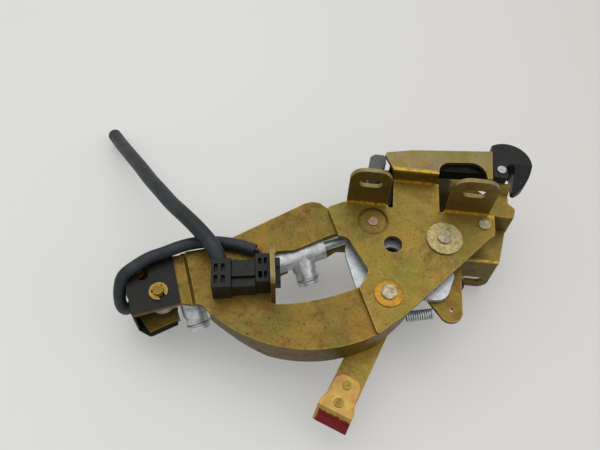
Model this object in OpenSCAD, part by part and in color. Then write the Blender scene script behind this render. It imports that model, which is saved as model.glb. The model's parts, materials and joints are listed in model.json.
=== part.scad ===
// Hydraulic roof latch: sheet-steel frame, hydraulic cylinder, swinging hook and hand release.
// Frame: origin at the locating hole in the main plate's front face, +X along the tab folds
// towards the hook, +Y away from the hand lever, +Z out of the front face.

/* [Sheet metal] */
// Thickness of every pressed plate
sheet = 2.5; // [1.5:0.1:3]
// Height of the three mounting tabs above or below their plate
tab_h = 31; // [26:0.5:34]
// Width of the slots in the mounting tabs
slot_w = 6.6; // [5:0.1:7.5]
// Overall length of the slots in the mounting tabs
slot_len = 13; // [10:0.5:15]
// Height of the front slots' centres above the main plate
slot_z = 19.7; // [16:0.1:21]
// Depth of the rear slots' centres below the rear plate
rear_slot_z = 23.5; // [18:0.1:24]
// Radius of the locating hole
locating_r = 5.4; // [4:0.1:6]
// Rise of the bridge over the hook arm
bridge_rise = 10.5; // [10:0.1:14]

/* [Cylinder] */
// Outer radius of the barrel
barrel_r = 7.25; // [6.5:0.05:7.4]
// Radius of the cylinder bore
bore_r = 5; // [4.5:0.1:5.2]
// Radius of the piston rod
rod_r = 3; // [2.5:0.1:3.2]
// Distance from the tail pin to the open end of the barrel
barrel_len = 97.5; // [94:0.5:99]
// Tilt of the two hydraulic ports below the plate plane
port_dip = 35; // [30:1:38]
// Radius of the two port necks
port_r = 6.2; // [5.5:0.1:6.4]

/* [Levers] */
// Thickness of the drive lever
lever_t = 3; // [2:0.1:3]
// Width of the hand lever
release_w = 16.5; // [12:0.5:17]
// Reach of the hand lever from its pivot
release_len = 68; // [60:1:75]

/* [Leads] */
// Diameter of the sleeve on the switch lead
switch_lead_d = 7; // [5:0.5:7]
// Diameter of the sleeve on the supply lead
supply_lead_d = 9; // [7:0.5:9]

/* [Hidden] */
$fn = 48;
gap = 0.1;                       // running clearance of a journal
face_z = 0;                      // front face of the main plate
carrier_z = -sheet;              // front face of the carrier plate
web_z = -22;                     // inside face of the channel's back web
end_step = 2.5;                  // how far the channel's end is set back
axis_z = -14;                    // height of the cylinder's axis
lever_z = -10;                   // underside of the drive lever
tail_z = -6;                     // underside of the hook arm's tail
rear_z = -21;                    // underside of the rear plate's lower level
rear_top = rear_z + sheet;
release_top = rear_z - 0.7;      // top of the hand lever
ground_z = rear_top - tab_h - 1.5;   // what the latch stands on

A = [-12, 14.5];                 // rivet in the dished recess
B = [-1.4, -31.5];               // pivot of the drive lever and the hand lever
C = [29.4, 6.8];                 // pivot of the pawl
D = [53.1, 19.2];                // rivet into the rear plate
T = [-127, -43];                 // tail pin of the cylinder
Q = [-14, 14.7];                 // rod pin on the drive lever
H = [3.85, 55.5];                // pivot of the hook
hook_pin_r = 61.5;                // reach of the hook pin from B
hook_pin_a = 96.55;              // its direction from B
P = B + hook_pin_r * [cos(hook_pin_a), sin(hook_pin_a)];

cyl_a = atan2(Q[1] - T[1], Q[0] - T[0]);   // direction of the cylinder
cyl_len = norm(Q - T);
end_a = 21;                      // direction of the channel's left end
release_a = 249;                 // direction of the hand lever
port_s = [15.5, 83.5];           // places of the ports along the cylinder
port_h = [22.5, 18.5];           // how far their mouths are from the cylinder's axis
PORTS = [0, 1];

arc_c = [-50, 11];               // centre of the carrier's outer curve
arc_r = 79;
arc_a = [229, 318];              // where that curve starts and ends
tab_c = [-64.5, -29];            // foot of the connector tab
tab_a = 9;                       // direction of the connector tab's normal

gold = [0.62, 0.5, 0.22];
zinc = [0.7, 0.72, 0.74];
black = [0.1, 0.1, 0.11];

// ---------- outlines ----------

// Points of an outline whose corners [x, y, radius] are rounded by arcs.
function unit(v) = v / norm(v);
function corner(a, b, c, r, n = 8) =
    let (u = unit(a - b), w = unit(c - b), half = acos(u * w) / 2, reach = r / tan(half),
         centre = b + unit(u + w) * r / sin(half), p = b + u * reach, q = b + w * reach,
         a0 = atan2(p[1] - centre[1], p[0] - centre[0]),
         a1 = atan2(q[1] - centre[1], q[0] - centre[0]),
         turn = (a1 - a0 + 540) % 360 - 180)
    [for (i = [0:n]) centre + r * [cos(a0 + turn * i / n), sin(a0 + turn * i / n)]];
function xy(p) = [p[0], p[1]];
function rounded(v) = [for (i = [0:len(v) - 1])
    let (n = len(v), a = v[(i + n - 1) % n], b = v[i], c = v[(i + 1) % n])
    each (b[2] > 0 ? corner(xy(a), xy(b), xy(c), b[2]) : [xy(b)])];

// A line moved sideways by t (to its right), with mitred corners.
function normal_at(p, i) = let (d = unit(p[i + 1] - p[i])) [d[1], -d[0]];
function shifted(p, t) = [for (i = [0:len(p) - 1])
    i == 0 ? p[0] + t * normal_at(p, 0)
    : i == len(p) - 1 ? p[i] + t * normal_at(p, i - 1)
    : let (m = normal_at(p, i - 1), n = normal_at(p, i), s = unit(m + n)) p[i] + s * t / (s * m)];
function reversed(p) = [for (i = [len(p) - 1:-1:0]) p[i]];

// ---------- shared shapes ----------

module plate(z0, z1) { translate([0, 0, z0]) linear_extrude(z1 - z0) children(); }
module disc(p, r, z0, z1) { translate([p[0], p[1], z0]) cylinder(r = r, h = z1 - z0); }
module box(p, q) { translate(p) cube(q - p); }
// Children drawn in the cylinder's frame: +X along the rod from the tail pin, +Z up.
module along_cylinder(s = 0) {
    translate([T[0], T[1], axis_z]) rotate([0, 0, cyl_a]) translate([s, 0, 0]) children();
}
// A solid bar along the cylinder's axis from s0 to s1.
module axial(r, s0, s1) { along_cylinder(s0) rotate([0, 90, 0]) cylinder(r = r, h = s1 - s0); }
// Children drawn at a port's mouth, h out from the cylinder's axis, with +Z out of the port.
module at_port(i, h = 0) {
    along_cylinder(port_s[i]) rotate([90 + port_dip, 0, 0]) translate([0, 0, h]) children();
}
// Children drawn in the connector's frame: +X through the tab, +Y along it.
module at_tab() { translate([tab_c[0], tab_c[1], 0]) rotate([0, 0, tab_a]) children(); }
// Children drawn in the hand lever's frame: +X along the lever from its pivot.
module at_release() { translate([B[0], B[1], 0]) rotate([0, 0, release_a]) children(); }
module oblong(len, w) {
    for (s = [-1, 1]) translate([s * (len - w) / 2, 0]) circle(d = w);
    square([len - w, w], center = true);
}
// A mounting tab with its slot: x across, y up from the fold, in a plane.
module tab_face(w, h, r, slot_up) {
    difference() {
        polygon(rounded([[-w / 2, 0, 0], [w / 2, 0, 0], [w / 2, h, r], [-w / 2, h, r]]));
        translate([0, slot_up]) oblong(slot_len, slot_w);
    }
}
// A tab on the main plate, bent up at the fold line.
module front_tab(x, w) {
    translate([x, tab_fold_y + sheet, -sheet]) rotate([90, 0, 0])
        linear_extrude(sheet) tab_face(w, tab_h + sheet, 9, slot_z + sheet);
}
// A tab on the rear plate, bent down at y.
module rear_tab(x, y, w) {
    translate([x, y + sheet, rear_top]) rotate([90, 0, 0])
        linear_extrude(sheet) mirror([0, 1]) tab_face(w, rear_top - ground_z, 7, rear_slot_z);
}
// A tube swept along points: one ring of n sides at each point.
function tangent(p, i) = unit(p[min(i + 1, len(p) - 1)] - p[max(i - 1, 0)]);
function ring(p, i, r, n) =
    let (t = tangent(p, i), side = unit(cross(t, abs(t[2]) > 0.9 ? [1, 0, 0] : [0, 0, 1])),
         up = cross(side, t))
    [for (k = [0:n - 1]) p[i] + r * (side * cos(360 * k / n) + up * sin(360 * k / n))];
module tube(p, r, n = 10) {
    last = len(p) - 1;
    polyhedron(
        points = [for (i = [0:last]) each ring(p, i, r, n)],
        faces = concat([[for (k = [0:n - 1]) k]],
            [for (i = [0:last - 1], k = [0:n - 1])
                let (a = i * n + k, b = i * n + (k + 1) % n) each [[a, a + n, b], [b, a + n, b + n]]],
            [[for (k = [n - 1:-1:0]) last * n + k]]),
        convexity = 6);
}
// A smooth line through hand-picked points.
function spline(p, n = 3) = concat([for (i = [0:len(p) - 2], k = [0:n - 1])
    let (t = k / n, a = p[max(i - 1, 0)], b = p[i], c = p[i + 1], d = p[min(i + 2, len(p) - 1)])
    0.5 * (2 * b + (c - a) * t + (2 * a - 5 * b + 4 * c - d) * t * t
           + (3 * b - a - 3 * c + d) * t * t * t)], [p[len(p) - 1]]);

// ---------- frame ----------

tab1_x = -16.3;
tab2_x = 42.8;
tab_fold_y = 26.4;
bridge_y = 45;

module main_outline() {
    difference() {
        polygon(rounded([[-6.5, -56, 1.5], [8, -43, 60], [44, -2.7, 60], [59.5, 14.5, 6], [56, 26.4, 0],
            [29.8, 26.4, 0], [28.6, 25, 1], [26.8, 25, 1], [26.5, 45.1, 0], [-0.7, 45.1, 0],
            [-0.7, 24.8, 1], [-3.8, 24.8, 1], [-3.8, 26.4, 0], [-28.4, 26.4, 0], [-39.3, 20.7, 2]]));
        polygon(rounded([[-44, 1.8, 0], [-26.5, 2, 5], [-12.6, -18.5, 5], [-18.5, -31.8, 0], [-44, -34, 0]]));
    }
}

module main_plate() {
    color(gold) {
        difference() {
            plate(-sheet, face_z) main_outline();
            disc([0, 0], locating_r, -sheet - 1, 1);
            disc(A, 8.6, -1.2, 1);
            for (p = [A, B, C, D]) disc(p, p == A ? 2.1 : p == D ? 2.6 : 4, -sheet - 1, 1);
        }
        front_tab(tab1_x, 24);
        front_tab(tab2_x, 26);
        bridge();
    }
}

// The raised strip over the hook arm, open in an arch where tab 2 was cut from the sheet.
module bridge() {
    top = bridge_rise;
    plate(top - sheet, top) difference() {
        polygon(rounded([[-2, bridge_y, 0], [56.5, bridge_y, 0], [57.3, 66, 1], [8.4, 61, 3], [-8.5, 57.2, 2]]));
        polygon(rounded([[24.8, 40, 0], [24.8, 53.6, 7], [51.5, 56.5, 9], [54.6, 40, 0]]));
    }
    box([-2, bridge_y, -sheet], [24.8, bridge_y + sheet, top - sheet]);
    box([54.6, bridge_y, 3], [56.5, bridge_y + sheet, top - sheet]);
}

arm_top = [[-36, 20.6], [-40, 21.8], [-44, 24.6], [-49, 25], [-53.4, 22.9], [-103, -13], [-124, -19.8],
    [-137, -25], [-144.5, -32.5], [-144.5, -42], [-141, -50]];

module carrier_outline() {
    ends = [for (a = arc_a) arc_c + arc_r * [cos(a), sin(a)]];
    difference() {
        union() {
            polygon(concat([ends[1], [8, -24], [2, -20], [-5.8, -18], [-6.8, 8]], [[-5, 16], [-9, 21.6]],
                arm_top, [[-137.5, -58], [-113.3, -47.8], [-106, -48.2], ends[0]]));
            intersection() {
                translate(arc_c) circle(r = arc_r, $fn = 200);
                polygon([ends[0], ends[1], [ends[1][0], -90], [ends[0][0], -90]]);
            }
        }
        intersection() {
            polygon(rounded([[-62.6, -50, 0], [-66, -10.8, 0], [-55.5, -9, 8], [-37, 2.8, 3], [-33, 4.5, 2],
                [-20, 4.5, 4], [-12, -4, 3], [-7, -16, 3], [-7, -50, 0]]));
            translate([-79, 76]) circle(r = 121, $fn = 200);
        }
        translate(tab_c) rotate(tab_a) translate([-3.2, 9]) square([4.4, 8]);
    }
}

// The set-back end, drawn as the plate's side profile along the channel's end.
module set_back() {
    top = [[-40, -end_step], [16.6, -end_step], [18.6, 0], [190, 0]];
    translate([T[0], T[1], carrier_z]) rotate([0, 0, end_a]) rotate([90, 0, 0])
        linear_extrude(260, center = true)
            polygon(concat(top, reversed([for (p = top) p - [0, sheet]])));
}

module web_outline() {
    difference() {
        polygon(concat([[-131, -60], [-62.7, -15.6], [-43, -3.2], [-36, 0.5], [-31.4, 4.5], [-25, 5],
            [-25, 14]], arm_top));
        for (s = port_s) translate(T) rotate(cyl_a) translate([s - 9, -26]) square([18, 29]);
    }
}

module carrier_plate() {
    flange = [[-97, 0], [-97, -13], [-86, -13], [-64, -21], [-6, -21], [8.5, -9], [8.5, 0]];
    wall = [for (i = [3:len(arm_top) - 1]) arm_top[i]];
    color(gold) difference() {
        union() {
            intersection() { plate(-12, 0) carrier_outline(); set_back(); }
            plate(web_z - sheet, web_z) web_outline();
            plate(web_z - sheet, carrier_z - end_step - sheet / 2)
                polygon(concat(wall, reversed(shifted(wall, -sheet))));
            intersection() {
                plate(web_z - sheet, carrier_z - sheet / 2)
                    polygon(concat(wall, reversed(shifted(wall, -sheet))));
                translate([-120, -60, -40]) cube([90, 100, 40]);
            }
            intersection() {
                translate([arc_c[0], arc_c[1], -21]) rotate([0, 0, arc_a[0]])
                    rotate_extrude(angle = arc_a[1] - arc_a[0], $fn = 200)
                        translate([arc_r - sheet, 0]) square([sheet, 21 + carrier_z]);
                translate([0, 20, carrier_z]) rotate([90, 0, 0]) linear_extrude(100) polygon(
                    [for (p = flange) [p[0], p[1] == 0 ? 0 : p[1] - carrier_z]]);
            }
            connector_tab();
        }
        disc(A, 2.1, -10, 1);
        disc(B, 4, -10, 1);
        disc(T, 3, -40, 1);
        disc([-138.5, -34], 3.4, -10, 1);
    }
}

module connector_tab() {
    at_tab() difference() {
        translate([-sheet, 0, -sheet - sheet / 2]) rotate([90, 0, 90]) linear_extrude(sheet)
            polygon(rounded([[-14.3, 0, 0], [9, 0, 0], [9, 28, 4], [-14.3, 28, 4]]));
        for (y = [-7.5, 1.5]) box([-4, y, 1], [1, y + 6, 10]);
    }
}

module rear_plate() {
    low = rounded([[43.5, 5, 0], [66.3, 5, 0], [71.5, 30.4, 0], [62, 52, 5], [44, 64.5, 3], [-8, 66, 6],
        [-19.5, 62, 3], [-19.5, 46, 3], [-6, 38, 8], [-9.5, 8, 20], [-11, -36, 9], [0, -42.5, 9]]);
    high = rounded([[46, 12, 5], [60, 11, 5], [60, 27.9, 0], [71.8, 28.2, 1.5], [72.8, 34.4, 2],
        [68.8, 37.5, 2], [68.8, 43, 0], [57.5, 43, 0], [50, 32, 5], [46, 28, 4]]);
    color(gold) difference() {
        union() {
            plate(rear_z, rear_top) polygon(low);
            plate(-2 * sheet, -sheet) polygon(high);
            box([58.5, 27.9, rear_z], [71.5, 27.9 + sheet, -sheet]);
            translate([58, 43, -2 * sheet]) rotate([90, 0, 90]) linear_extrude(10.8)
                polygon([[-0.1, 0], [-0.1, sheet], [3, 9], [5, 8.4], [2, 0]]);
            rear_tab(55.3, 5, 21.5);
            rear_tab(30, 62, 26);
        }
        disc(B, 4, rear_z - 1, rear_top + 1);
        disc(C, 4, rear_z - 1, rear_top + 1);
        disc(H, 4, rear_z - 1, rear_top + 1);
        disc(D, 2.6, -10, 1);
        for (y = [50, 58]) disc([-12, y], 1.5, rear_z - 1, rear_top + 1);
    }
}

module rivet_a() {
    color(zinc) {
        disc(A, 2.1, -2 * sheet - 1, -0.2);
        disc(A, 2.95, -1.2, -0.1);
        disc(A, 3.2, -2 * sheet - 1.1, -2 * sheet);
    }
}

module rivet_d() {
    color(zinc) {
        disc(D, 2.6, -2 * sheet, 0);
        disc(D, 3.5, 0, 1.1);
        disc(D, 3.6, -2 * sheet - 1.4, -2 * sheet);
    }
}

stud_b_r = 5;

module pivot_stud_b() {
    color(zinc) difference() {
        union() {
            disc(B, 4, -sheet * 2, 1.6);
            disc(B, 4.35, 1.6, 2.8);
            disc(B, stud_b_r, rear_top, -2 * sheet);
            disc(B, 4, rear_z - 6, rear_top);
        }
        translate([B[0], B[1], rear_z - 4.6]) rotate_extrude() translate([3, 0]) square([3, 1.1]);
    }
}

module stud_b_clip() { color(zinc) translate([B[0], B[1], rear_z - 4.55]) e_clip(3.05, 7, 1); }

module pivot_stud_c() {
    color(zinc) {
        disc(C, 4, -sheet, 1.4);
        disc(C, 4.05, 1.4, 2.5);
        disc(C, 5, rear_top, -sheet);
        disc(C, 4, rear_z, rear_top);
        disc(C, 5.5, rear_z - 1.2, rear_z);
    }
}

module cup_washer_b() {
    color(gold) translate([B[0], B[1], 0]) rotate_extrude()
        polygon([[4, 1], [4, 1.6], [6, 1.6], [8.2, 0.7], [8.2, 0], [7.5, 0], [5.8, 1]]);
}

module washer_c() { color([0.72, 0.66, 0.45]) difference() { disc(C, 10.5, 0, 1.4); disc(C, 4, -1, 3); } }

// Open retaining ring, mouth towards -Y turned by a.
module e_clip(r_in, r_out, t, a = 40) {
    rotate([0, 0, a]) linear_extrude(t) difference() {
        circle(r = r_out);
        circle(r = r_in);
        translate([-r_in * 0.85, -r_out - 1]) square([r_in * 1.7, r_out + 1]);
        for (s = [35, 145]) rotate(s) translate([r_in + 0.2, -0.9]) square([(r_out - r_in) / 2, 1.8]);
    }
}

cover_t = 1;
cover_top = carrier_z - end_step + cover_t;

module tail_pin() {
    color(gold) difference() {
        union() {
            disc(T, 2.93, web_z - sheet - cover_t, cover_top + 2.6);
            disc(T, 4.5, web_z - sheet - cover_t - 1.5, web_z - sheet - cover_t);
        }
        translate([T[0], T[1], cover_top]) rotate_extrude() translate([2.2, 0]) square([2, 1.1]);
    }
}

module tail_pin_clip() { color(gold) translate([T[0], T[1], cover_top + 0.05]) e_clip(2.25, 5.2, 1, 45); }

module end_cover() {
    edge = concat([for (i = [5:len(arm_top) - 1]) arm_top[i]], [[-137.5, -58]]);
    skin = shifted(edge, cover_t);
    low = web_z - sheet - cover_t;
    color(black) difference() {
        intersection() {
            union() {
                plate(cover_top - cover_t, cover_top) polygon(concat(skin, [[-113, -47.5], [-100, -44]]));
                plate(low, low + cover_t) polygon(concat(skin, [[-131.4, -61.3], [-129.8, -61], [-117, -52.6],
                    [-119.5, -41.5], [-112, -36]]));
                plate(low, cover_top) polygon(concat(skin, reversed(edge)));
            }
            translate([T[0], T[1], -30]) rotate([0, 0, end_a]) translate([-60, -60, 0]) cube([70.7, 120, 40]);
        }
        disc(T, 3, -40, 1);
        disc([-138.5, -34], 3.4, -10, 1);
    }
}

module hook_stud() {
    color(zinc) difference() {
        union() {
            disc(H, 4, rear_z, rear_top);
            disc(H, 6.5, rear_top, tail_z - 0.3);
            disc(H, 4, tail_z - 0.3, 7.7);
            disc(H, 5.5, rear_z - 1.2, rear_z);
        }
        translate([H[0], H[1], 6.8]) rotate_extrude() translate([3.2, 0]) square([2, 0.7]);
    }
}

module hook_stud_clip() { color(zinc) translate([H[0], H[1], 6.83]) e_clip(3.25, 6.8, 0.64, 200); }

module stop_block() {
    color([0.35, 0.36, 0.37]) {
        plate(rear_top, 3.5) polygon(rounded([[-16, 46.5, 1], [-9.8, 46.5, 1], [-7.6, 50.5, 3], [-6.2, 54.5, 3],
            [-6.4, 60.6, 2], [-13, 60.8, 2], [-16, 58.5, 1]]));
        for (y = [50, 58]) disc([-12, y], 1.5, rear_z - 1, rear_top);
    }
}

// ---------- cylinder ----------

module cylinder_barrel() {
    color(zinc) difference() {
        union() {
            axial(barrel_r, 18.5, barrel_len);
            disc(T, 7, axis_z - 4.5, axis_z + 4.5);
            along_cylinder(11.5) cube([15, 11, 9], center = true);
            for (i = PORTS) at_port(i) {
                cylinder(r = barrel_r - 0.3, h = port_h[i] - 8.5);
                cylinder(r = port_r, h = port_h[i]);
            }
        }
        axial(bore_r, 24, barrel_len + 1);
        disc(T, 3, axis_z - 10, axis_z + 10);
        for (i = PORTS) {
            at_port(i, port_h[i] - 6) cylinder(r = 4, h = 10);
            at_port(i, port_h[i] - 8) cylinder(r = 3.6, h = 3);
            at_port(i) cylinder(r = 1.5, h = port_h[i] - 7);
            at_port(i, port_h[i] - 3.8) rotate_extrude() translate([port_r - 0.7, 0]) square([2, 1.6]);
        }
        along_cylinder(port_s[0]) rotate([0, 90, 0]) cylinder(r = 1.5, h = 9);
    }
}

module cylinder_gland() {
    color(gold) difference() {
        axial(bore_r, 89, barrel_len);
        axial(rod_r + 0.05, 88, barrel_len + 1);
        axial(rod_r + 1.2, 91.5, 94);
    }
}

module rod_seal() {
    color(black) difference() {
        axial(rod_r + 1.2, 91.5, 94);
        axial(rod_r + 0.02, 91, 95);
    }
}

// Rubber rings in the mouths of the two ports.
module port_seals() {
    color(black) for (i = PORTS) at_port(i, port_h[i] - 8) difference() {
        cylinder(r = 3.6, h = 2);
        translate([0, 0, -1]) cylinder(r = 2.6, h = 4);
    }
}

// Spring-wire clips in the grooves of the port necks, with two straight legs each.
module port_clips() {
    wire = 0.7;
    color(zinc) for (i = PORTS) at_port(i, port_h[i] - 3) {
        rotate([0, 0, 20]) rotate_extrude(angle = 250, $fn = 40) translate([port_r - 0.05, 0])
            circle(r = wire - 0.05, $fn = 16);
        for (k = [0, 1]) rotate([0, 0, 20 + k * 250]) translate([port_r - 0.05, 0, 0])
            rotate([k == 0 ? 90 : -90, 0, 0]) translate([0, 0, -0.5]) cylinder(r = wire, h = 6.5, $fn = 16);
    }
}

module piston() {
    color(zinc) difference() {
        axial(bore_r - gap / 2, 58, 67);
        axial(rod_r - 0.6, 57, 68);
        difference() { axial(bore_r + 1, 61, 64); axial(bore_r - 1.3, 60, 65); }
    }
}

module piston_seal() {
    color(black) difference() {
        axial(bore_r - 0.02, 61, 64);
        axial(bore_r - 1.3, 60, 65);
    }
}

module piston_rod() {
    color(zinc) {
        axial(rod_r, 67, cyl_len - 12);
        axial(rod_r - 0.6, 58, 67);
        axial(rod_r - 0.6, cyl_len - 12, cyl_len - 8);
    }
}

module rod_eye() {
    color(zinc) difference() {
        union() {
            disc(Q, 7, axis_z - 3.5, axis_z + 3.5);
            axial(4, cyl_len - 12, cyl_len - 5);
        }
        disc(Q, 3.9, axis_z - 10, axis_z + 10);
        axial(rod_r - 0.6, cyl_len - 13, cyl_len - 8);
    }
}

// ---------- drive lever and hook ----------

bush_r = stud_b_r + 1.5;

module drive_lever() {
    z1 = lever_z + lever_t;
    color(zinc) difference() {
        union() {
            plate(lever_z, z1) polygon(rounded([[-11, -36.5, 0], [-18.5, -27.5, 12], [-27.5, -3, 22],
                [-22.5, 19, 14], [-15, 31, 0], [-2, 31, 0], [6, 14, 14], [11, -2, 8], [22, -7, 4], [37.5, -9.5, 4], [31.5, -29.5, 8],
                [14, -28.5, 10], [7, -36, 0]]));
            disc(P, 7, lever_z, z1);
            disc(B, 10.8, lever_z, z1);
        }
        disc(B, bush_r, lever_z - 1, z1 + 1);
        disc(Q, rod_r, lever_z - 1, z1 + 1);
        disc(P, 2.2, lever_z - 1, z1 + 1);
        disc([0.5, -4.5], 6.5, lever_z - 1, z1 + 1);
    }
}

module drive_bush() {
    color(gold) difference() {
        disc(B, bush_r, lever_z - 0.4, lever_z + lever_t + 0.4);
        disc(B, stud_b_r + gap / 2, -20, 0);
    }
}

module rod_pin() { color(zinc) disc(Q, rod_r, axis_z - 4, lever_z + lever_t); }

module hook_pin() {
    color(zinc) {
        disc(P, 2.2, lever_z - 1, lever_z + lever_t);
        disc(P, 3, lever_z + lever_t, tail_z + 2.8);
        disc(P, 3.4, lever_z - 1.2, lever_z);
    }
}

hook_rivet_at = [63, 54.6];
hook_boss_r = 7.2;
hook_slot_in = 25.2;             // nearest and farthest places of the hook pin from H
hook_slot_out = 29.2;

module hook_arm() {
    tail_a = atan2(P[1] - H[1], P[0] - H[0]);
    color(black) difference() {
        union() {
            disc(H, hook_boss_r, tail_z, 6.5);
            plate(-1, 6.5) polygon(rounded([[3.85, 49, 0], [30, 50.5, 30], [64.5, 51.9, 2], [64.5, 56, 3],
                [70, 64, 4], [66, 69, 4], [59, 67, 4], [30, 63, 30], [3.85, 61.8, 0]]));
            translate([H[0], H[1], tail_z]) rotate([0, 0, tail_a]) linear_extrude(3) {
                translate([0, -6]) square([hook_slot_out, 12]);
                translate([hook_slot_out, 0]) circle(r = 6);
            }
        }
        disc(H, 5, tail_z - 1, 7);
        disc(hook_rivet_at, 1.7, -5, 10);
        translate([H[0], H[1], tail_z - 1]) rotate([0, 0, tail_a]) linear_extrude(5)
            hull() for (s = [hook_slot_in, hook_slot_out]) translate([s, 0]) circle(r = 3.5, $fn = 32);
    }
}

module hook_bush() {
    color(gold) difference() { disc(H, 5, tail_z, 6.5); disc(H, 4 + gap / 2, -20, 20); }
}

// Moulded hook: flat body on the arm's end, a crook that slopes down to its tip.
module hook_cover() {
    c = [66.4, 59.6];
    r = 15.4;
    color(black) difference() {
        union() {
            plate(-2, 8) intersection() {
                union() {
                    translate(c) circle(r = r);
                    polygon([[57, 47], [67, 47], [67, 62], [57, 71]]);
                }
                polygon([[58, 40], [90, 40], [90, 90], [58, 90]]);
            }
            plate(-8, 0) intersection() {
                translate(c) circle(r = r);
                polygon([[70.5, 42], [90, 42], [90, 68], [70.5, 66]]);
            }
        }
        // mouth for the striker
        plate(-9, 9) polygon(rounded([[50, 39, 0], [80, 39, 0], [80, 46.2, 0], [72, 46.2, 1.5], [71.7, 58.4, 1.2],
            [69.6, 60, 1.2], [66.5, 58.4, 1.2], [66.5, 49, 0.8], [50, 49, 0]]));
        // sloping nose
        translate([50, 60, 8]) rotate([42, 0, 0]) translate([21.1, -40, 0]) cube([30, 40, 30]);
        // pocket for the arm
        plate(-1, 6.5) polygon(rounded([[40, 50.9, 0], [64.5, 51.9, 2], [64.5, 56, 3], [70, 64, 4], [66, 69, 4],
            [59, 67, 4], [40, 64.3, 0]]));
        disc(hook_rivet_at, 1.7, -5, 10);
    }
}

module hook_rivet() {
    color(zinc) {
        disc(hook_rivet_at, 1.7, -2, 8);
        difference() {
            disc(hook_rivet_at, 2.7, 8, 8.8);
            disc(hook_rivet_at, 1, 8.2, 9);
        }
    }
}

// ---------- hand lever and pawl ----------

module release_lever() {
    w = release_w / 2;
    color(gold) difference() {
        union() {
            plate(release_top - 2, release_top) {
                translate(B) rotate(release_a)
                    polygon(rounded([[0, -w, 0], [release_len - 8, -w, 2], [release_len - 8, w, 2], [0, w, 0]]));
                translate(B) circle(r = 10);
            }
        }
        disc(B, 4 + gap / 2, -40, 0);
        at_release() for (u = [50.5, 61]) disc([u, 0], 1.6, -40, 0);
    }
}

tip_t = 1.6;

module release_tip() {
    bend = release_len - 2;
    face = [[0, 0], [3, -4], [6, -11], [4.6, -11.8], [1.5, -4.6], [-1, -tip_t]];
    color([0.6, 0.1, 0.1]) difference() {
        union() {
            translate([0, 0, release_top]) at_release() linear_extrude(tip_t)
                polygon(rounded([[45, -7, 5], [58, -8, 6], [bend - 3, -9.8, 4], [bend, -9.8, 0], [bend, 9.8, 0],
                    [bend - 3, 9.8, 4], [58, 8, 6], [46, 7, 5]]));
            translate([0, 0, release_top + tip_t]) at_release() translate([bend, 0, 0]) rotate([90, 0, 0])
                linear_extrude(19.6, center = true) polygon(face);
        }
        at_release() for (u = [50.5, 61]) disc([u, 0], 1.6, -40, 0);
    }
}

module release_rivets() {
    color(gold) at_release() for (u = [50.5, 61]) {
        disc([u, 0], 1.6, release_top - 2.6, release_top + tip_t);
        disc([u, 0], 2.6, release_top + tip_t, release_top + tip_t + 0.7);
        disc([u, 0], 2.6, release_top - 3, release_top - 2);
    }
}

module release_spring() {
    color(zinc) difference() {
        disc(B, 8, rear_top + 0.6, lever_z - 1);
        disc(B, 6.6, -20, 0);
    }
}

pawl_z = -13.5;

module pawl_lever() {
    top = pawl_z + sheet;
    color(gold) difference() {
        union() {
            plate(pawl_z, top) polygon(rounded([[20.5, 4, 0], [21.5, -27, 6], [32, -40, 6], [41.6, -39, 6.4],
                [41.4, -6, 20], [38, 4, 0]]));
            disc(C, 9, pawl_z, top);
        }
        disc(C, 6.5, pawl_z - 1, top + 1);
        disc([35.4, -32.2], 1.2, pawl_z - 1, top + 1);
        disc([38, -14], 2, pawl_z - 1, pawl_z + 1.2);
    }
}

module pawl_bush() {
    color(gold) difference() { disc(C, 6.5, pawl_z - 0.3, pawl_z + sheet + 0.3); disc(C, 5 + gap / 2, -30, 0); }
}

module pawl_buffer() {
    color(black) {
        disc([38, -14], 5.6, pawl_z - 12, pawl_z);
        disc([38, -14], 2, pawl_z, pawl_z + 1.2);
    }
}

// Tension spring between the pawl and the rear plate.
module pawl_spring() {
    a = [9, -38, -14.7];
    b = [27, -33.6, -14.7];
    d = b - a;
    color(zinc) translate(a) rotate([0, 0, atan2(d[1], d[0])]) rotate([0, 90, 0]) difference() {
        cylinder(r = 3.2, h = norm(d) - 3);
        translate([0, 0, -1]) cylinder(r = 2.2, h = norm(d));
    }
}

// ---------- connector, switch and leads ----------

module socket_housing() {
    color(black) at_tab() {
        difference() {
            box([-10.4, -8.2, carrier_z], [-sheet, 9, 12]);
            for (y = [-5.5, 2.5]) {
                box([-8.6, y, 9], [-7, y + 3.6, 13]);
                box([-5.6, y, 9], [-4.2, y + 3.6, 13]);
            }
        }
        for (y = [-7.3, 1.7]) box([-sheet - 0.1, y, 1.2], [3, y + 5.6, 9.8]);
    }
}

module plug_housing() {
    color(black) at_tab() {
        difference() {
            box([-34, -10.4, carrier_z], [-23.4, 7, 12]);
            for (y = [-8, -1]) for (x = [-32.4, -28.6]) box([x, y, 9.5], [x + 1.8, y + 4.6, 13]);
        }
        box([-23.5, -9, carrier_z], [-10.4, 7, 8.4]);
    }
}

module plug_lock() {
    color([0.15, 0.15, 0.16]) at_tab() difference() {
        box([-23.4, -3.6, 8.4], [-10.4, 6.8, 10.4]);
        box([-20, 5, 9.4], [-14, 7, 12]);
    }
}

switch_c = [-144.5, -30.5];

module switch_body() {
    color(black) difference() {
        box([switch_c[0] - 8, switch_c[1] - 5.2, ground_z],
            [switch_c[0] + 8, switch_c[1] + 5.2, web_z - sheet - cover_t]);
        for (z = [-46, -30]) translate([switch_c[0], switch_c[1], z]) rotate([90, 0, 0])
            cylinder(r = 1.5, h = 20, center = true);
        translate([switch_c[0] + 4, switch_c[1], -38]) rotate([0, 90, 0]) cylinder(r = 1.6, h = 10);
    }
}

module switch_plunger() {
    color([0.5, 0.1, 0.1]) translate([switch_c[0] + 6.2, switch_c[1], -38]) rotate([0, 90, 0])
        cylinder(r = 1.55, h = 4);
}

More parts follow.
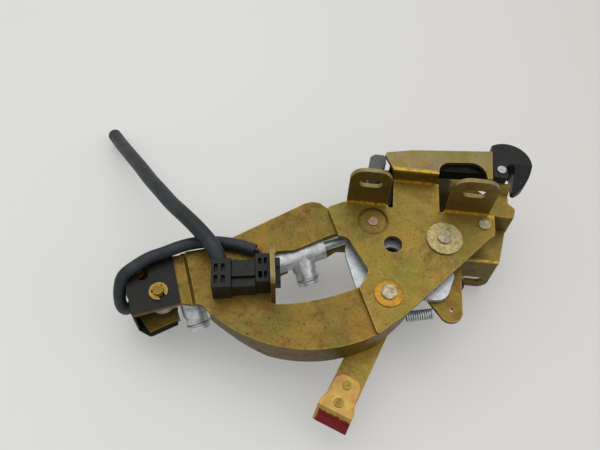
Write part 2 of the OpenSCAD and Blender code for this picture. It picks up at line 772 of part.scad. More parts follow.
module switch_screws() {
    color(zinc) for (z = [-46, -30]) translate([switch_c[0], switch_c[1] - 5.2, z]) {
        rotate([-90, 0, 0]) cylinder(r = 1.5, h = 10.4);
        rotate([90, 0, 0]) difference() {
            cylinder(r = 2.7, h = 1.6);
            translate([-3, -0.4, 0.8]) cube([6, 0.8, 2]);
        }
    }
}

// Route of the sleeve from the socket to the switch.
switch_route = [[-77.5, -14, 1.1], [-86, -11.8, 1.1], [-95, -11.2, 1.1], [-104, -11.6, 1.2], [-112, -13.4, 1.3],
    [-120, -16.6, 1], [-128, -20.8, 0.2], [-135.4, -25, 0.2], [-141.8, -31, 0.3], [-147.6, -37, -1.4],
    [-149.8, -41.8, -8], [-150.4, -45.5, -16], [-150, -46.5, -23.5], [-149.4, -44, -30.5],
    [-148.6, -39.5, -35.5], [-148, -35.7, -38]];
module switch_lead() { color(black) tube(spline(switch_route), switch_lead_d / 2, 12); }

// Route of the sleeve that leaves the plug and ends cut off.
supply_route = [[-95.4, -26.4, 6.6], [-97.4, -22.4, 8.4], [-101.2, -17.6, 10], [-106.5, -12.2, 10.4],
    [-113, -6, 9.6], [-121, 1.6, 7], [-130, 10.6, 2.6], [-140.3, 22.6, -3.4], [-150.8, 35.2, -10.6],
    [-161.2, 48.7, -18], [-172, 62.5, -26.6], [-182, 75.5, -35], [-189.5, 85.5, -41.4], [-195.5, 93.3, -45.4]];
module supply_lead() { color(black) tube(spline(supply_route, 2), supply_lead_d / 2, 12); }

module lead_wires() {
    color([0.3, 0.2, 0.6]) for (k = [0, 1]) translate([0, 0, 2.4 * k])
        tube([[-77.5, -14, 0], [-75.4, -14.4, 0.3], [-73.8, -16.2, 1.2], [-73.4, -18.8, 2.4], [-73.8, -21.4, 3]], 0.9, 8);
}

main_plate();
carrier_plate();
rear_plate();
rivet_a();
pivot_stud_b();
pivot_stud_c();
rivet_d();
cup_washer_b();
washer_c();
tail_pin();
tail_pin_clip();
end_cover();
hook_stud();
hook_stud_clip();
stop_block();
stud_b_clip();
cylinder_barrel();
cylinder_gland();
rod_seal();
port_seals();
port_clips();
piston();
piston_seal();
piston_rod();
rod_eye();
drive_lever();
drive_bush();
rod_pin();
hook_pin();
hook_arm();
hook_bush();
hook_cover();
hook_rivet();
release_lever();
release_tip();
release_rivets();
release_spring();
pawl_lever();
pawl_bush();
pawl_buffer();
pawl_spring();
socket_housing();
plug_housing();
plug_lock();
switch_body();
switch_plunger();
switch_screws();
switch_lead();
supply_lead();
lead_wires();
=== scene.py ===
import json
import math

import bmesh
import bpy
from mathutils import Matrix, Vector

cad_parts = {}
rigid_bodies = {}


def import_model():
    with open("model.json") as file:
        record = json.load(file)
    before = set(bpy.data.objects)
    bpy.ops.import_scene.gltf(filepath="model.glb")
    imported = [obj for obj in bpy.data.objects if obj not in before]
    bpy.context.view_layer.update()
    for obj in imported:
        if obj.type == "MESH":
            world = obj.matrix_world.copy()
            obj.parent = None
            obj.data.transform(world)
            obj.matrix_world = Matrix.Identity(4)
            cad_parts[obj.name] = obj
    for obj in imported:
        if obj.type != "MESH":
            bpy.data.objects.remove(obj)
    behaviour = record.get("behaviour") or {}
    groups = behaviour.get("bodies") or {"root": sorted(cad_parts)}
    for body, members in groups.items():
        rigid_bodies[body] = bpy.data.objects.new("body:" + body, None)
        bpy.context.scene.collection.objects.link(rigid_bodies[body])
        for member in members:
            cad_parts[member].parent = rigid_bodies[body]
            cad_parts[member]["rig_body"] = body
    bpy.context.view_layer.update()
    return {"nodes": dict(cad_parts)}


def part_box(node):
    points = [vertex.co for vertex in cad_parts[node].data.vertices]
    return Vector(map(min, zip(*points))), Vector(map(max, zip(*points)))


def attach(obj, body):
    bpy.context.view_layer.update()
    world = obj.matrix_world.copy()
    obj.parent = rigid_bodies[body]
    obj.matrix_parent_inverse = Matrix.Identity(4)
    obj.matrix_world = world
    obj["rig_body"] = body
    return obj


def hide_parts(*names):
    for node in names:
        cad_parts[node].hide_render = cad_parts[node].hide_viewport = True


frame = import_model()
nodes = frame["nodes"]
MM = 0.001

# Camera: a view from above the hand lever, about 31 degrees off the plate's normal and turned
# 3 degrees, as by someone who holds the camera over the table.
cam_data = bpy.data.cameras.new("camera")
cam_data.lens = 38.4
cam_data.sensor_width = 36.0
cam_data.clip_start = 0.01
camera = bpy.data.objects.new("camera", cam_data)
view_right = Vector((0.99440, 0.10208, 0.02727))
view_up = Vector((-0.10132, 0.84795, 0.52030))
view_back = view_right.cross(view_up).normalized()
camera.matrix_world = Matrix.Translation((-0.043043, -0.186728, 0.316838)) @ Matrix(
    (view_right, view_up, view_back)).transposed().to_4x4()
bpy.context.scene.collection.objects.link(camera)
bpy.context.scene.camera = camera


# Supply lead: wires in a stiff charcoal sleeve of woven polyester coated with rubber. It comes out of
# the plug's back, bows over the switch lead and slopes down to the table, where it has been cut off.
def smooth_line(points, steps):
    """A Catmull-Rom line through the points, with steps segments between each two."""
    p = [Vector(q) for q in points]
    line = []
    for i in range(len(p) - 1):
        a, b, c, d = p[max(i - 1, 0)], p[i], p[i + 1], p[min(i + 2, len(p) - 1)]
        for k in range(steps):
            t = k / steps
            line.append(0.5 * (2 * b + (c - a) * t + (2 * a - 5 * b + 4 * c - d) * t ** 2
                               + (3 * b - a - 3 * c + d) * t ** 3))
    line.append(p[-1])
    return line


def tube(name, points, diameter, steps=6):
    """A round curve through points given in millimetres, smooth and closed at both ends."""
    data = bpy.data.curves.new(name, "CURVE")
    data.dimensions = "3D"
    data.bevel_depth = diameter / 2 * MM
    data.bevel_resolution = 6
    data.use_fill_caps = True
    line = smooth_line(points, steps)
    spline = data.splines.new("POLY")
    spline.points.add(len(line) - 1)
    for point, place in zip(spline.points, line):
        point.co = (*(place * MM), 1)
    spline.use_smooth = True
    piece = bpy.data.objects.new(name, data)
    bpy.context.scene.collection.objects.link(piece)
    return piece


def linear(code):
    """An sRGB hex colour as linear RGBA."""
    parts = [int(code[i:i + 2], 16) / 255 for i in (0, 2, 4)]
    return [c / 12.92 if c <= 0.04045 else ((c + 0.055) / 1.055) ** 2.4 for c in parts] + [1]


def add(tree, kind, links=(), out=None, **settings):
    """Adds a node, sets its sockets or properties by name, and links (socket, source) pairs into it."""
    n = tree.nodes.new(kind)
    for key, value in settings.items():
        name = key.replace("__", " ")
        if name in n.inputs:
            n.inputs[name].default_value = value
        else:
            setattr(n, key, value)
    for socket, source in links:
        tree.links.new(source, n.inputs[socket])
    return n if out is None else n.outputs[out]


def new_material(name, **settings):
    """An empty material with one Principled shader, its object coordinates in millimetres."""
    m = bpy.data.materials.new(name)
    m.use_nodes = True
    tree = m.node_tree
    shader = tree.nodes["Principled BSDF"]
    for key, value in settings.items():
        shader.inputs[key.replace("__", " ")].default_value = value
    place = add(tree, "ShaderNodeTexCoord", out="Object")
    mm = add(tree, "ShaderNodeVectorMath", [(0, place)], out=0, operation="SCALE", Scale=1000)
    return m, tree, shader, mm


def noise(tree, mm, size, detail=4, rough=0.55, distort=0.0):
    """Noise whose blotches are about size millimetres across."""
    return add(tree, "ShaderNodeTexNoise", [("Vector", mm)], out="Fac", Scale=1 / size, Detail=detail,
               Roughness=rough, Distortion=distort)


def ramp(tree, value, low, high, flip=False):
    """0 below low, 1 above high, straight between."""
    return add(tree, "ShaderNodeMapRange", [("Value", value)], out=0, **{
        "From__Min": low, "From__Max": high, "To__Min": float(flip), "To__Max": float(not flip)})


def mix(tree, factor, a, b):
    """Colour a where factor is 0, b where it is 1. Each is a hex code or a socket."""
    n = tree.nodes.new("ShaderNodeMix")
    n.data_type = "RGBA"
    colour_in = [s for s in n.inputs if s.type == "RGBA"]
    for socket, value in zip(colour_in, (a, b)):
        if isinstance(value, str):
            socket.default_value = linear(value)
        else:
            tree.links.new(value, socket)
    if isinstance(factor, (int, float)):
        n.inputs[0].default_value = factor
    else:
        tree.links.new(factor, n.inputs[0])
    return [s for s in n.outputs if s.type == "RGBA"][0]


def math_node(tree, operation, a, b=0.0):
    n = add(tree, "ShaderNodeMath", operation=operation)
    for i, v in enumerate((a, b)):
        if isinstance(v, (int, float)):
            n.inputs[i].default_value = v
        else:
            tree.links.new(v, n.inputs[i])
    return n.outputs[0]


def spread(tree, value, gain, offset):
    """value times gain plus offset, as for a roughness that varies round a middle."""
    return math_node(tree, "ADD", math_node(tree, "MULTIPLY", value, gain), offset)


def bump(tree, shader, height, depth_mm, strength=1.0):
    b = add(tree, "ShaderNodeBump", [("Height", height)], out="Normal", Strength=strength,
            Distance=depth_mm * MM)
    tree.links.new(b, shader.inputs["Normal"])


def finish_sockets(tree, shader, colour, roughness):
    tree.links.new(colour, shader.inputs["Base Color"])
    tree.links.new(roughness, shader.inputs["Roughness"])


def rubber_sleeve():
    """Rubber-coated woven sleeve: dull charcoal, faint weave of 1.2 mm, dusty patches."""
    m, tree, shader, mm = new_material("coated woven sleeve", IOR=1.5, Specular__IOR__Level=0.35)
    dust = ramp(tree, noise(tree, mm, 9, 5), 0.42, 0.72)
    weave = add(tree, "ShaderNodeTexVoronoi", [("Vector", mm)], out="Distance", Scale=1 / 1.2)
    colour = mix(tree, math_node(tree, "MULTIPLY", dust, 0.6), "181c21", "333a42")
    finish_sockets(tree, shader, colour, ramp(tree, noise(tree, mm, 3), -0.9, 1.9))
    bump(tree, shader, weave, 0.12, 0.5)
    return m


SUPPLY_ROUTE = [(-95.4, -26.4, 6.6), (-97.4, -22.4, 8.4), (-101.2, -17.6, 10), (-106.5, -12.2, 10.4),
                (-113, -6, 9.6), (-121, 1.6, 7), (-130, 10.6, 2.6), (-140.3, 22.6, -3.4),
                (-150.8, 35.2, -10.6), (-161.2, 48.7, -18), (-172, 62.5, -26.6), (-182, 75.5, -35),
                (-189.5, 85.5, -41.4), (-195.5, 93.3, -45.4)]
sleeve = rubber_sleeve()
supply = tube("supply_lead_sleeve", SUPPLY_ROUTE, 9)
supply.data.materials.append(sleeve)
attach(supply, "frame")
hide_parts("supply_lead")

# Switch lead: a thinner sleeve of the same make, from the socket round the end of the channel to the
# position switch under it.
SWITCH_ROUTE = [(-77.5, -14, 1.1), (-86, -11.8, 1.1), (-95, -11.2, 1.1), (-104, -11.6, 1.2),
                (-112, -13.4, 1.3), (-120, -16.6, 1), (-128, -20.8, 0.2), (-135.4, -25, 0.2),
                (-141.8, -31, 0.3), (-147.6, -37, -1.4), (-149.8, -41.8, -8), (-150.4, -45.5, -16),
                (-150, -46.5, -23.5), (-149.4, -44, -30.5), (-148.6, -39.5, -35.5), (-148, -35.7, -38)]
switch_sleeve = tube("switch_lead_sleeve", SWITCH_ROUTE, 7)
switch_sleeve.data.materials.append(sleeve)
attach(switch_sleeve, "frame")
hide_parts("switch_lead")


# Lead wires: PVC-insulated copper, violet and brown. They leave the socket's back in the open for a few
# millimetres and then run into the switch sleeve.
def pvc(name, colour):
    """Extruded PVC: plain bright colour, satin, slightly uneven where fingers have rubbed it."""
    m, tree, shader, mm = new_material(name, IOR=1.53)
    shade = mix(tree, ramp(tree, noise(tree, mm, 2), 0.3, 0.7), colour, "1b1822")
    finish_sockets(tree, shader, shade, ramp(tree, noise(tree, mm, 1.5), -0.6, 1.6))
    return m


WIRE_PATH = [(-77.5, -14, 0), (-75.4, -14.4, 0.3), (-73.8, -16.2, 1.2), (-73.4, -18.8, 2.4),
             (-73.8, -21.4, 3)]
for k, (wire_name, wire_colour) in enumerate([("violet", "4a3b8f"), ("brown", "6b3a28")]):
    wire = tube("lead_wire_" + wire_name, [(x, y, z + 2.4 * k) for x, y, z in WIRE_PATH], 1.8)
    wire.data.materials.append(pvc(wire_name + " PVC", wire_colour))
    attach(wire, "frame")
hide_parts("lead_wires")


# Pressed plates: 2.5 mm steel, cut, lanced and folded in a press tool, then zinc plated and yellow
# chromated. The cut edges are broken by tumbling, and the folds have a radius about as thick as the sheet.
def rounded_copy(node, edge_mm, folds=(), fold_mm=2.2, segments=2, flat_angle=0.5):
    """A copy of a CAD node with its sharp edges broken by edge_mm, and edges that pass a test in folds
    rounded by fold_mm. Each test takes an edge's two ends in millimetres."""
    source = nodes[node]
    bm = bmesh.new()
    bm.from_mesh(source.data)
    bmesh.ops.remove_doubles(bm, verts=bm.verts, dist=2e-6)
    bmesh.ops.dissolve_limit(bm, angle_limit=math.radians(flat_angle), verts=bm.verts, edges=bm.edges)
    weights = bm.edges.layers.float.new("bevel_weight_edge")
    for e in bm.edges:
        sharp = len(e.link_faces) == 2 and e.calc_face_angle(0) > math.radians(28)
        if not sharp:
            continue
        a, b = (v.co / MM for v in e.verts)
        e[weights] = 1.0 if any(test(a, b) for test in folds) else edge_mm / fold_mm
    mesh = bpy.data.meshes.new(node + "_finished")
    bm.to_mesh(mesh)
    bm.free()
    piece = bpy.data.objects.new(node + "_finished", mesh)
    bpy.context.scene.collection.objects.link(piece)
    bevel = piece.modifiers.new("broken edges", "BEVEL")
    bevel.limit_method = "WEIGHT"
    bevel.width = fold_mm * MM
    bevel.segments = segments
    bevel.use_clamp_overlap = True
    bevel.miter_outer = "MITER_ARC"
    mesh.shade_smooth()
    normals = piece.modifiers.new("face normals", "WEIGHTED_NORMAL")
    normals.keep_sharp = False
    return piece


def stand_in(node, piece, material):
    """The piece takes the CAD node's place on its body, with this material."""
    piece.data.materials.clear()
    piece.data.materials.append(material)
    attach(piece, nodes[node]["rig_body"])
    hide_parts(node)
    return piece


def yellow_zinc(name, base, warm, green, worn, wear=0.5, folds=(), shade_left_of_x=None, dish=None):
    """Yellow-chromated zinc: a metal whose thin coat runs from gold to brown-pink and green in cloudy
    patches of 5 to 30 mm, dulled by dark stains and freckles. Its rounded edges are painted brighter, partly
    as rubbed wear and partly as painted highlight; faces that stand up get painted shade, and flats that sit
    high a painted grey reflection of the ceiling. Each of folds (y, z, x0, x1) is a fold along X painted with
    a bright yellow stripe of highlight, which is also smoother. Left of the given x the plate gets painted
    shade, and a pressed dish (x, y, radius) gets a ring of painted shade on its side."""
    m, tree, shader, mm = new_material(name, Metallic=0.8)
    clouds = ramp(tree, noise(tree, mm, 24, 3, 0.5, 0.6), 0.36, 0.66)
    pink = ramp(tree, noise(tree, mm, 11, 4, 0.6, 0.8), 0.5, 0.7)
    rubbed = ramp(tree, noise(tree, mm, 6, 6, 0.7), 0.5, 0.74)
    freckles = ramp(tree, noise(tree, mm, 1.4, 4, 0.8), 0.565, 0.64)
    grime = ramp(tree, noise(tree, mm, 15, 8, 0.72), 0.54, 0.72)
    colour = mix(tree, clouds, base, green)
    colour = mix(tree, math_node(tree, "MULTIPLY", pink, 0.75), colour, warm)
    colour = mix(tree, math_node(tree, "MULTIPLY", rubbed, wear), colour, worn)
    colour = mix(tree, math_node(tree, "MULTIPLY", grime, 0.62), colour, "43361c")
    colour = mix(tree, math_node(tree, "MULTIPLY", freckles, 0.72), colour, "2c2313")
    # the rounded edges and folds are painted a brighter yellow: partly rubbed wear, partly painted highlight
    soft = add(tree, "ShaderNodeBevel", out=0, samples=4, Radius=1.1 * MM)
    flat = add(tree, "ShaderNodeNewGeometry", out="Normal")
    turned = add(tree, "ShaderNodeVectorMath", [(0, soft), (1, flat)], out="Value", operation="DOT_PRODUCT")
    edge_sheen_and_wear = ramp(tree, turned, 0.86, 0.99, flip=True)
    edge_sheen_and_wear = math_node(tree, "MULTIPLY", edge_sheen_and_wear, ramp(tree, noise(tree, mm, 3, 4), 0.3, 0.6))
    colour = mix(tree, math_node(tree, "MULTIPLY", edge_sheen_and_wear, 0.75), colour, "c4a24a")
    rough = spread(tree, noise(tree, mm, 5, 6, 0.65), 0.36, 0.26)
    rough = math_node(tree, "ADD", rough, math_node(tree, "MULTIPLY", grime, 0.18))
    # faces that stand up get painted shade, a darker brown
    up = add(tree, "ShaderNodeSeparateXYZ", [(0, flat)], out="Z")
    upright_shade_mask = ramp(tree, math_node(tree, "ABSOLUTE", up), 0.5, 0.2)
    colour = mix(tree, math_node(tree, "MULTIPLY", upright_shade_mask, 0.55), colour, "4a3517")
    x, y, z = (add(tree, "ShaderNodeSeparateXYZ", [(0, mm)], out=axis) for axis in "XYZ")
    # flats that sit high get a painted grey reflection of the bright ceiling
    raised_flat_reflection = math_node(tree, "MULTIPLY", ramp(tree, z, 9, 10.3), math_node(tree, "SUBTRACT", 1.0, upright_shade_mask))
    raised_flat_reflection = math_node(tree, "MULTIPLY", raised_flat_reflection, ramp(tree, noise(tree, mm, 9, 5), 0.25, 0.6))
    colour = mix(tree, math_node(tree, "MULTIPLY", raised_flat_reflection, 0.6), colour, "867f66")
    streaks = ramp(tree, noise(tree, mm, 2.4, 4), 0.3, 0.6)
    # painted highlight: a bright yellow stripe along each fold, which is also given a smoother finish
    for fold_y, fold_z, x0, x1 in folds:
        reach = [math_node(tree, "ABSOLUTE", math_node(tree, "SUBTRACT", value, middle))
                 for value, middle in ((y, fold_y), (z, fold_z), (x, (x0 + x1) / 2))]
        fold_highlight = ramp(tree, math_node(tree, "MAXIMUM", reach[0], reach[1]), 1.8, 0.6)
        fold_highlight = math_node(tree, "MULTIPLY", fold_highlight, math_node(tree, "LESS_THAN", reach[2], (x1 - x0) / 2))
        fold_highlight = math_node(tree, "MULTIPLY", fold_highlight, streaks)
        colour = mix(tree, math_node(tree, "MULTIPLY", fold_highlight, 0.9), colour, "cfa738")
        rough = math_node(tree, "SUBTRACT", rough, math_node(tree, "MULTIPLY", fold_highlight, 0.14))
    if dish is not None:
        # painted shade: a dark ring on the side of the pressed dish
        away = add(tree, "ShaderNodeVectorMath", [(0, mm)], out="Value", operation="DISTANCE")
        away.node.inputs[1].default_value = (dish[0], dish[1], 0)
        dish_wall_shade = ramp(tree, math_node(tree, "ABSOLUTE", math_node(tree, "SUBTRACT", away, dish[2])), 1.3, 0.3)
        colour = mix(tree, math_node(tree, "MULTIPLY", dish_wall_shade, 0.6), colour, "4a3813")
    if shade_left_of_x is not None:
        # painted shade: the plate is darkened left of the given x, where it lies under the main plate
        ragged = math_node(tree, "ADD", x, math_node(tree, "MULTIPLY", streaks, 4))
        under_plate_shade = ramp(tree, ragged, shade_left_of_x + 4, shade_left_of_x)
        colour = mix(tree, math_node(tree, "MULTIPLY", under_plate_shade, 0.9), colour, "17130c")
    finish_sockets(tree, shader, colour, rough)
    waves = math_node(tree, "MULTIPLY", noise(tree, mm, 9, 3), 2.0)
    grain = math_node(tree, "ADD", noise(tree, mm, 0.7, 4), waves)
    bump(tree, shader, grain, 0.05, 0.6)
    return m


def near(value, target, slack=0.3):
    return abs(value - target) < slack


def along_x_at(y, z):
    """A test for an edge that runs along X at this y and z."""
    return lambda a, b: near(a.y, y) and near(b.y, y) and near(a.z, z) and near(b.z, z)


plate_gold = yellow_zinc("yellow zinc main plate", "8f7733", "7f5c37", "77702f", "a8935a", 0.5, [
    (26.4, 0, -30, -2), (26.4, 0, 29.5, 70), (45, 0, -3, 32), (46, 9.8, -3, 32)], dish=(-12, 14.5, 8.6))
rear_gold = yellow_zinc("yellow zinc rear plate", "8a7232", "78562f", "726a31", "9f8a52", 0.5, [
    (26.5, -2.5, 40, 75), (5, -18.5, 40, 75)], shade_left_of_x=40)
carrier_gold = yellow_zinc("yellow zinc carrier", "866a2b", "6f4c28", "6c612b", "9c8247", 0.4)

main = rounded_copy("main_plate", 0.35, [
    along_x_at(26.4, 0), along_x_at(28.9, -2.5), along_x_at(45, 0), along_x_at(45, 10.5), along_x_at(47.5, 8),
    along_x_at(47.5, -2.5)], fold_mm=2.6, segments=3)
stand_in("main_plate", main, plate_gold)


def on_outer_arc(a, b):
    """The folded edge between the carrier's face and its lower flange."""
    centre = Vector((-50, 11))
    return all(near(p.z, -2.5) and near((p.xy - centre).length, 79, 0.6) for p in (a, b))


carrier = rounded_copy("carrier_plate", 0.35, [on_outer_arc], fold_mm=2.2, segments=3)
stand_in("carrier_plate", carrier, carrier_gold)

rear = rounded_copy("rear_plate", 0.35, [along_x_at(27.9, -2.5), along_x_at(5, -18.5), along_x_at(5, -21)])
stand_in("rear_plate", rear, rear_gold)

release_gold = yellow_zinc("yellow zinc hand lever", "9c8138", "825f3a", "857833", "b59f62", 0.55)
cup_gold = yellow_zinc("yellow zinc cup washer", "b98a2b", "97662c", "a5862e", "cfae62", 0.4)
for name, edge_mm, material in (
        ("release_lever", 0.3, release_gold), ("pawl_lever", 0.3, carrier_gold),
        ("cup_washer_b", 0.2, cup_gold), ("tail_pin_clip", 0.15, release_gold),
        ("tail_pin", 0.2, carrier_gold), ("release_rivets", 0.3, release_gold)):
    stand_in(name, rounded_copy(name, edge_mm), material)


# Hand lever's tip: the same steel as the lever, folded down at its end and dipped in red paint, which
# has chipped back to bare metal along the rim and at one corner.
def red_dip():
    """Red enamel over yellow zinc: paint on the folded face, worn through to metal at its rim."""
    m, tree, shader, mm = new_material("red enamel on yellow zinc", Specular__IOR__Level=0.18)
    u = Vector((math.cos(math.radians(249)), math.sin(math.radians(249)), 0))
    start = Vector((-1.4, -31.5, 0))
    from_pivot = add(tree, "ShaderNodeVectorMath", [(0, mm)], out=0, operation="SUBTRACT")
    from_pivot.node.inputs[1].default_value = start
    reach = add(tree, "ShaderNodeVectorMath", [(0, from_pivot)], out="Value", operation="DOT_PRODUCT")
    reach.node.inputs[1].default_value = u
    across = add(tree, "ShaderNodeVectorMath", [(0, from_pivot)], out="Value", operation="DOT_PRODUCT")
    across.node.inputs[1].default_value = (-u.y, u.x, 0)
    chips = math_node(tree, "MULTIPLY", noise(tree, mm, 1.6, 5), 2.2)
    paint = ramp(tree, math_node(tree, "ADD", reach, chips), 68.3, 68.9)
    rim = ramp(tree, math_node(tree, "ADD", across, chips), -7.6, -6.9)
    paint = math_node(tree, "MULTIPLY", paint, rim)
    gold = mix(tree, ramp(tree, noise(tree, mm, 7, 4), 0.35, 0.65), "b89a4e", "a27c4c")
    specks = math_node(tree, "MULTIPLY", ramp(tree, noise(tree, mm, 0.9, 3), 0.6, 0.72), 0.6)
    gold = mix(tree, specks, gold, "46371f")
    red = mix(tree, ramp(tree, noise(tree, mm, 4, 5), 0.35, 0.7), "7a0507", "500406")
    colour = mix(tree, paint, gold, red)
    finish_sockets(tree, shader, colour, spread(tree, noise(tree, mm, 3, 4), 0.3, 0.22))
    bare = math_node(tree, "SUBTRACT", 1.0, paint)
    tree.links.new(math_node(tree, "MULTIPLY", bare, 0.85), shader.inputs["Metallic"])
    bump(tree, shader, math_node(tree, "ADD", paint, noise(tree, mm, 1, 3)), 0.08, 0.6)
    return m


stand_in("release_tip", rounded_copy("release_tip", 0.35), red_dip())


# Studs, rivets, clips and the drive lever: turned or stamped steel, zinc plated and left without the
# yellow coat. The rivet heads are peened over after plating, so they are dull and stained.
def bright_zinc(name, base, shade, rough_low=0.25, stain="6f6a60"):
    """Bright zinc: a bluish-grey metal, slightly mottled where it has oxidised, with fine scratches."""
    m, tree, shader, mm = new_material(name, Metallic=0.88)
    mottled = ramp(tree, noise(tree, mm, 2.2, 6, 0.7), 0.42, 0.66)
    stained = ramp(tree, noise(tree, mm, 7, 6, 0.7), 0.55, 0.75)
    colour = mix(tree, mottled, base, shade)
    colour = mix(tree, math_node(tree, "MULTIPLY", stained, 0.5), colour, stain)
    finish_sockets(tree, shader, colour, spread(tree, noise(tree, mm, 3, 5), 0.3, rough_low))
    bump(tree, shader, noise(tree, mm, 0.8, 5, 0.7), 0.05, 0.6)
    return m


zinc = bright_zinc("bright zinc", "b9bec0", "8f9597")
rivet_zinc = bright_zinc("peened zinc rivet", "b8ae93", "6f6654", 0.34, "4a3b25")
pink_zinc = bright_zinc("pinkish zinc rivet", "c2a593", "8c6f58", 0.34, "5c4c33")
for name in ("pivot_stud_b", "pivot_stud_c", "rivet_d"):
    stand_in(name, rounded_copy(name, 0.25), rivet_zinc)
stand_in("rivet_a", rounded_copy("rivet_a", 0.25), pink_zinc)
for name in ("hook_stud", "hook_stud_clip", "stud_b_clip", "switch_screws", "port_clips", "piston",
             "piston_rod", "rod_eye", "rod_pin", "hook_pin"):
    stand_in(name, rounded_copy(name, 0.15), zinc)

lever_zinc = bright_zinc("bright zinc drive lever", "c3c9ce", "a4abb0", 0.3)
stand_in("drive_lever", rounded_copy("drive_lever", 0.3), lever_zinc)

# Washer under the large rivet: stamped steel in a paler yellow zinc, mottled dark where the rivet's
# dirt has spread over it.
washer = bright_zinc("pale yellow zinc washer", "b8aa7c", "857548", 0.3, "30281a")
stand_in("washer_c", rounded_copy("washer_c", 0.25), washer)


# Cylinder: an alloy casting, bored and honed, with two cast necks for the hose nipples. The skin is
# left as cast.
def cast_alloy():
    """Die-cast aluminium: a soft grey metal with a fine orange-peel skin and grey stains."""
    m, tree, shader, mm = new_material("die-cast aluminium", Metallic=0.8)
    colour = mix(tree, ramp(tree, noise(tree, mm, 5, 6), 0.4, 0.68), "cfd1d2", "989b9d")
    specks = math_node(tree, "MULTIPLY", ramp(tree, noise(tree, mm, 1.2, 3), 0.62, 0.75), 0.6)
    colour = mix(tree, specks, colour, "55534e")
    finish_sockets(tree, shader, colour, spread(tree, noise(tree, mm, 2, 4), 0.3, 0.28))
    bump(tree, shader, noise(tree, mm, 0.6, 3), 0.08, 0.7)
    return m


stand_in("cylinder_barrel", rounded_copy("cylinder_barrel", 0.4), cast_alloy())


# Bushes and the rod gland: sintered bronze rings, pressed in. The levers and the rod run in them
# without grease.
def bronze():
    """Sintered bronze: brown-gold metal with fine open pores."""
    m, tree, shader, mm = new_material("sintered bronze", Metallic=1.0)
    colour = mix(tree, ramp(tree, noise(tree, mm, 0.6, 3), 0.5, 0.62), "a5814a", "6d5230")
    finish_sockets(tree, shader, colour, spread(tree, noise(tree, mm, 1.5, 3), 0.3, 0.25))
    bump(tree, shader, noise(tree, mm, 0.5, 2), 0.04)
    return m


bronze_metal = bronze()
for name in ("drive_bush", "hook_bush", "pawl_bush", "cylinder_gland"):
    stand_in(name, rounded_copy(name, 0.15), bronze_metal)


# Black parts: the folded end cover in black powder coat, the moulded rubber buffer and seals, and the
# stop block, which is grey iron left as cast.
def dark_finish(name, base, worn, metallic, rough, grain_mm, depth_mm, rub=0.5):
    """A dark surface whose grain is grain_mm across, with paler rubbed patches."""
    m, tree, shader, mm = new_material(name, Metallic=metallic, IOR=1.5, Specular__IOR__Level=0.3)
    rubbed = ramp(tree, noise(tree, mm, 6, 7, 0.7), 0.5, 0.78)
    specks = ramp(tree, noise(tree, mm, 1.0, 2), 0.66, 0.74)
    colour = mix(tree, math_node(tree, "MULTIPLY", rubbed, rub), base, worn)
    colour = mix(tree, math_node(tree, "MULTIPLY", specks, 0.35), colour, "8a857c")
    finish_sockets(tree, shader, colour, spread(tree, noise(tree, mm, 4, 5), 0.25, rough))
    bump(tree, shader, noise(tree, mm, grain_mm, 3), depth_mm, 0.8)
    return m


coat = dark_finish("black powder coat", "050505", "131313", 0.0, 0.34, 0.8, 0.08, 0.4)
stand_in("end_cover", rounded_copy("end_cover", 0.35), coat)
rubber = dark_finish("nitrile rubber", "0b0b0c", "1a1a1a", 0.0, 0.5, 0.6, 0.05, 0.4)
for name in ("pawl_buffer", "port_seals", "rod_seal", "piston_seal"):
    stand_in(name, rounded_copy(name, 0.15), rubber)
casting = dark_finish("as-cast iron", "5d5f60", "777876", 0.5, 0.45, 0.9, 0.2)
stand_in("stop_block", rounded_copy("stop_block", 0.6), casting)

# Hook arm: forged steel, blackened in hot oil. It runs under the bridge and carries the slot that the
# drive lever's pin moves in.
oiled = dark_finish("oiled forged steel", "1c1a17", "3a362f", 0.7, 0.35, 1.2, 0.12)
stand_in("hook_arm", rounded_copy("hook_arm", 0.4), oiled)

# Hook cover: glass-filled nylon moulded round the arm's end, with a fine satin grain that is scuffed
# paler here and there. One zinc-plated rivet holds it.
nylon = dark_finish("glass-filled nylon", "0c0f0f", "2a2e2e", 0.0, 0.3, 0.5, 0.06, 0.5)
stand_in("hook_cover", rounded_copy("hook_cover", 0.8, fold_mm=1.2, segments=3), nylon)
stand_in("hook_rivet", rounded_copy("hook_rivet", 0.3), zinc)

# Connector and position switch: PBT mouldings, snapped together; the socket's two tongues pass
# through the windows of the lanced tab.
pbt = dark_finish("moulded PBT", "070909", "181b1b", 0.0, 0.27, 0.4, 0.03, 0.3)
for name in ("socket_housing", "plug_housing", "plug_lock", "switch_body"):
    stand_in(name, rounded_copy(name, 0.3), pbt)
red_button = dark_finish("red PBT", "8c1118", "a3242a", 0.0, 0.3, 0.4, 0.02, 0.3)
stand_in("switch_plunger", rounded_copy("switch_plunger", 0.15), red_button)


# Springs: hard-drawn zinc-plated wire. The release spring is coiled round its stud; the pawl spring
# is a row of open coils below the main plate's edge.
def coil(name, centre, axis, radius, wire_d, length, turns, lead_in=(), lead_out=()):
    """A helix from centre along axis, with straight leads before and after it, all in millimetres."""
    axis = Vector(axis).normalized()
    side = axis.orthogonal().normalized()
    up = axis.cross(side)
    count = int(turns * 16)
    points = [Vector(p) for p in lead_in]
    for i in range(count + 1):
        a = 2 * math.pi * turns * i / count
        points.append(Vector(centre) + axis * (length * i / count)
                      + radius * (math.cos(a) * side + math.sin(a) * up))
    points += [Vector(p) for p in lead_out]
    return tube(name, points, wire_d, steps=1)


release_coil = coil("release_spring_coil", (-1.4, -31.5, -17.2), (0, 0, 1), 7.3, 1.4, 5.4, 3.6)
release_coil.data.materials.append(zinc)
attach(release_coil, "frame")
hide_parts("release_spring")

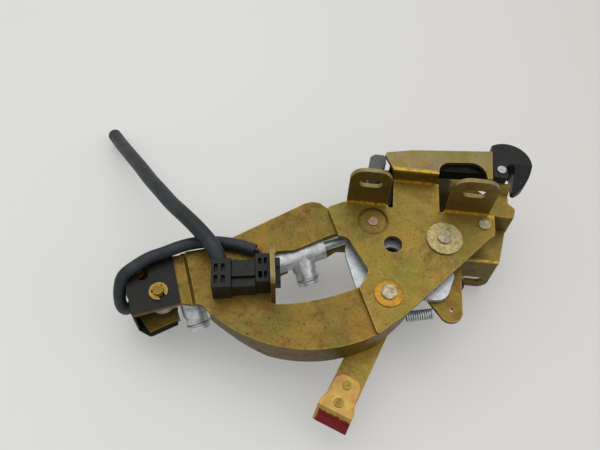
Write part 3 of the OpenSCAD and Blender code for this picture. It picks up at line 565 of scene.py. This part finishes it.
spring_start = Vector((9, -38, -14.7))
spring_end = Vector((27, -33.6, -14.7))
spring_way = (spring_end - spring_start).normalized()
pawl_coil = coil("pawl_spring_coil", spring_start + 1.5 * spring_way, spring_way, 2.6, 1.05,
                 (spring_end - spring_start).length - 3, 12)
pawl_coil.data.materials.append(zinc)
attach(pawl_coil, "frame")
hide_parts("pawl_spring")

# Table and light: a plain pale laminate top under a large soft light and the bright walls of a room.
# The top gives off a little light of its own, which keeps the shadows under the latch faint.
table_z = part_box("switch_body")[0].z
bm = bmesh.new()
bmesh.ops.create_grid(bm, x_segments=1, y_segments=1, size=1.6)
table_mesh = bpy.data.meshes.new("table_top")
bm.to_mesh(table_mesh)
bm.free()
table = bpy.data.objects.new("table_top", table_mesh)
table.location.z = table_z
bpy.context.scene.collection.objects.link(table)
laminate, tree, shader, mm = new_material("white laminate", Roughness=0.42, Emission__Strength=0.34)
across = add(tree, "ShaderNodeSeparateXYZ", [(0, mm)], out="X")
# painted light: the top runs from paler at the left to darker at the right
pale = mix(tree, ramp(tree, across, -190, 230), "bcbdbc", "b1aeab")
tree.links.new(pale, shader.inputs["Base Color"])
tree.links.new(pale, shader.inputs["Emission Color"])
table_mesh.materials.append(laminate)


def area_light(name, place, target, size, power, colour="ffffff"):
    data = bpy.data.lights.new(name, "AREA")
    data.size = size
    data.energy = power
    data.color = linear(colour)[:3]
    lamp = bpy.data.objects.new(name, data)
    lamp.location = place
    lamp.rotation_euler = (Vector(target) - Vector(place)).to_track_quat("-Z", "Y").to_euler()
    bpy.context.scene.collection.objects.link(lamp)


area_light("ceiling_light", (-0.2, 0.25, 1.0), (0, 0, 0), 1.6, 7.0, "fffaf4")
area_light("window_light", (0.75, -0.1, 0.6), (0, 0, 0), 0.8, 2.6, "f8faff")
world = bpy.data.worlds.new("room")
world.use_nodes = True
world.node_tree.nodes["Background"].inputs["Color"].default_value = linear("eef0ee")
world.node_tree.nodes["Background"].inputs["Strength"].default_value = 0.72
bpy.context.scene.world = world
bpy.context.scene.view_settings.view_transform = "Standard"
